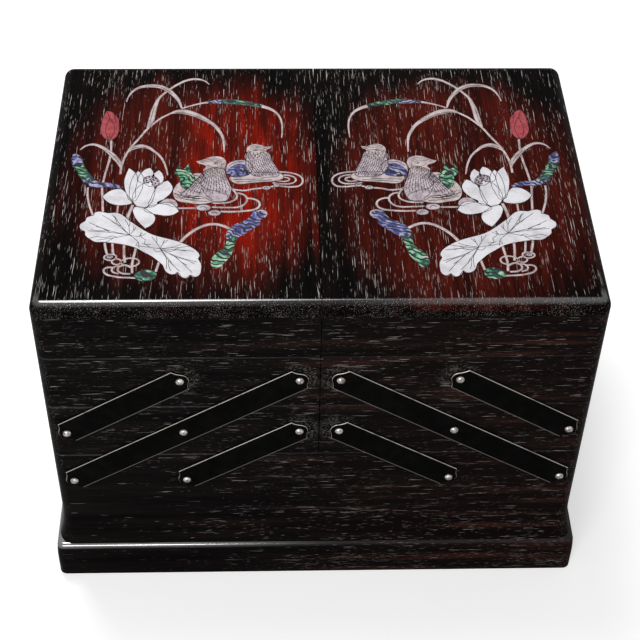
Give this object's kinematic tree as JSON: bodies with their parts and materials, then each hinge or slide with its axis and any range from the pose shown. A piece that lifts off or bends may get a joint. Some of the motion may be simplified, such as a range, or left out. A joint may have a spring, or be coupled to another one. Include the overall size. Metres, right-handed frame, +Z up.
{
  "type": "expanding box",
  "caption": "Wooden box whose halves open outwards: stacked trays swing out on flat pivoted arms above a moulded base, and hinged lids cover the upper trays.",
  "frame": {"origin": "on the surface that the box stands on, below the seam between the halves, in the middle of the depth", "axes": "+X along the front to the right half, +Y to the back, +Z up"},
  "size_m": [0.3122, 0.2202, 0.2226],
  "materials": {
    "body_wood": "dark open-pored wood under satin lacquer",
    "lid_wood": "dark open-pored wood with a red burst, under satin lacquer",
    "arm_metal": "blackened flat bar, worn bright at the edges",
    "pin_metal": "nickelled domed heads",
    "hinge_brass": "plain brass",
    "lining_cloth": "dark red velvet",
    "inlay": "shell inlay, used only by the visual pieces on the lids"
  },
  "bodies": {
    "base": {"base_front": "body_wood", "base_back": "body_wood", "base_left_side": "body_wood", "base_right_side": "body_wood", "plinth_front": "body_wood", "plinth_back": "body_wood", "plinth_left_side": "body_wood", "plinth_right_side": "body_wood", "base_bottom": "body_wood", "base_lining": "lining_cloth", "base_pivot_pins": "pin_metal"},
    "left_lower_tray": {"left_lower_tray_front": "body_wood", "left_lower_tray_back": "body_wood", "left_lower_tray_inner_side": "body_wood", "left_lower_tray_outer_side": "body_wood", "left_lower_tray_bottom": "body_wood", "left_lower_tray_lining": "lining_cloth", "left_lower_tray_pivot_pins": "pin_metal"},
    "left_upper_tray": {"left_upper_tray_front": "body_wood", "left_upper_tray_back": "body_wood", "left_upper_tray_inner_side": "body_wood", "left_upper_tray_outer_side": "body_wood", "left_upper_tray_bottom": "body_wood", "left_upper_tray_lining": "lining_cloth", "left_upper_tray_pivot_pins": "pin_metal", "left_hinge_tray_leaves": "hinge_brass"},
    "left_lid": {"left_lid_board": "lid_wood", "left_lid_front_rail": "body_wood", "left_lid_back_rail": "body_wood", "left_lid_inner_rail": "body_wood", "left_lid_outer_rail": "body_wood", "left_hinge_lid_leaves": "hinge_brass"},
    "left_long_arm_pair": {"left_long_arms": "arm_metal"},
    "left_lower_arm_pair": {"left_lower_arms": "arm_metal"},
    "left_upper_arm_pair": {"left_upper_arms": "arm_metal"},
    "right_lower_tray": {"right_lower_tray_front": "body_wood", "right_lower_tray_back": "body_wood", "right_lower_tray_inner_side": "body_wood", "right_lower_tray_outer_side": "body_wood", "right_lower_tray_bottom": "body_wood", "right_lower_tray_lining": "lining_cloth", "right_lower_tray_pivot_pins": "pin_metal"},
    "right_upper_tray": {"right_upper_tray_front": "body_wood", "right_upper_tray_back": "body_wood", "right_upper_tray_inner_side": "body_wood", "right_upper_tray_outer_side": "body_wood", "right_upper_tray_bottom": "body_wood", "right_upper_tray_lining": "lining_cloth", "right_upper_tray_pivot_pins": "pin_metal", "right_hinge_tray_leaves": "hinge_brass"},
    "right_lid": {"right_lid_board": "lid_wood", "right_lid_front_rail": "body_wood", "right_lid_back_rail": "body_wood", "right_lid_inner_rail": "body_wood", "right_lid_outer_rail": "body_wood", "right_hinge_lid_leaves": "hinge_brass"},
    "right_long_arm_pair": {"right_long_arms": "arm_metal"},
    "right_lower_arm_pair": {"right_lower_arms": "arm_metal"},
    "right_upper_arm_pair": {"right_upper_arms": "arm_metal"}
  },
  "joints": [
    {"name": "left_spread", "type": "hinge", "parent": "base", "child": "left_long_arm_pair", "pos_m": [-0.1392, 0, 0.0847], "axis": [0, -1, 0], "range_deg": [0, 114.03]},
    {"name": "left_lower_arm_pivot", "type": "hinge", "parent": "base", "child": "left_lower_arm_pair", "pos_m": [-0.0751, 0, 0.0847], "axis": [0, -1, 0], "range_deg": [0, 114.03]},
    {"name": "left_lower_tray_pivot", "type": "hinge", "parent": "left_lower_arm_pair", "child": "left_lower_tray", "pos_m": [-0.011, 0, 0.1263], "axis": [0, -1, 0], "range_deg": [-114.03, 0]},
    {"name": "left_upper_tray_pivot", "type": "hinge", "parent": "left_long_arm_pair", "child": "left_upper_tray", "pos_m": [-0.011, 0, 0.1679], "axis": [0, -1, 0], "range_deg": [-114.03, 0]},
    {"name": "left_upper_arm_pivot", "type": "hinge", "parent": "left_lower_tray", "child": "left_upper_arm_pair", "pos_m": [-0.1392, 0, 0.1263], "axis": [0, -1, 0], "range_deg": [0, 114.03]},
    {"name": "left_lid_hinge", "type": "hinge", "parent": "left_upper_tray", "child": "left_lid", "pos_m": [-0.15225, 0, 0.18455], "axis": [0, -1, 0], "range_deg": [0, 100]},
    {"name": "right_spread", "type": "hinge", "parent": "base", "child": "right_long_arm_pair", "pos_m": [0.1392, 0, 0.0847], "axis": [0, 1, 0], "range_deg": [0, 114.03]},
    {"name": "right_lower_arm_pivot", "type": "hinge", "parent": "base", "child": "right_lower_arm_pair", "pos_m": [0.0751, 0, 0.0847], "axis": [0, 1, 0], "range_deg": [0, 114.03]},
    {"name": "right_lower_tray_pivot", "type": "hinge", "parent": "right_lower_arm_pair", "child": "right_lower_tray", "pos_m": [0.011, 0, 0.1263], "axis": [0, 1, 0], "range_deg": [-114.03, 0]},
    {"name": "right_upper_tray_pivot", "type": "hinge", "parent": "right_long_arm_pair", "child": "right_upper_tray", "pos_m": [0.011, 0, 0.1679], "axis": [0, 1, 0], "range_deg": [-114.03, 0]},
    {"name": "right_upper_arm_pivot", "type": "hinge", "parent": "right_lower_tray", "child": "right_upper_arm_pair", "pos_m": [0.1392, 0, 0.1263], "axis": [0, 1, 0], "range_deg": [0, 114.03]},
    {"name": "right_lid_hinge", "type": "hinge", "parent": "right_upper_tray", "child": "right_lid", "pos_m": [0.15225, 0, 0.18455], "axis": [0, 1, 0], "range_deg": [0, 100]}
  ],
  "couplings": [
    {"joint": "left_lower_arm_pivot", "follows": "left_spread", "ratio": 1},
    {"joint": "left_lower_tray_pivot", "follows": "left_spread", "ratio": -1},
    {"joint": "left_upper_tray_pivot", "follows": "left_spread", "ratio": -1},
    {"joint": "left_upper_arm_pivot", "follows": "left_spread", "ratio": 1},
    {"joint": "right_lower_arm_pivot", "follows": "right_spread", "ratio": 1},
    {"joint": "right_lower_tray_pivot", "follows": "right_spread", "ratio": -1},
    {"joint": "right_upper_tray_pivot", "follows": "right_spread", "ratio": -1},
    {"joint": "right_upper_arm_pivot", "follows": "right_spread", "ratio": 1}
  ]
}
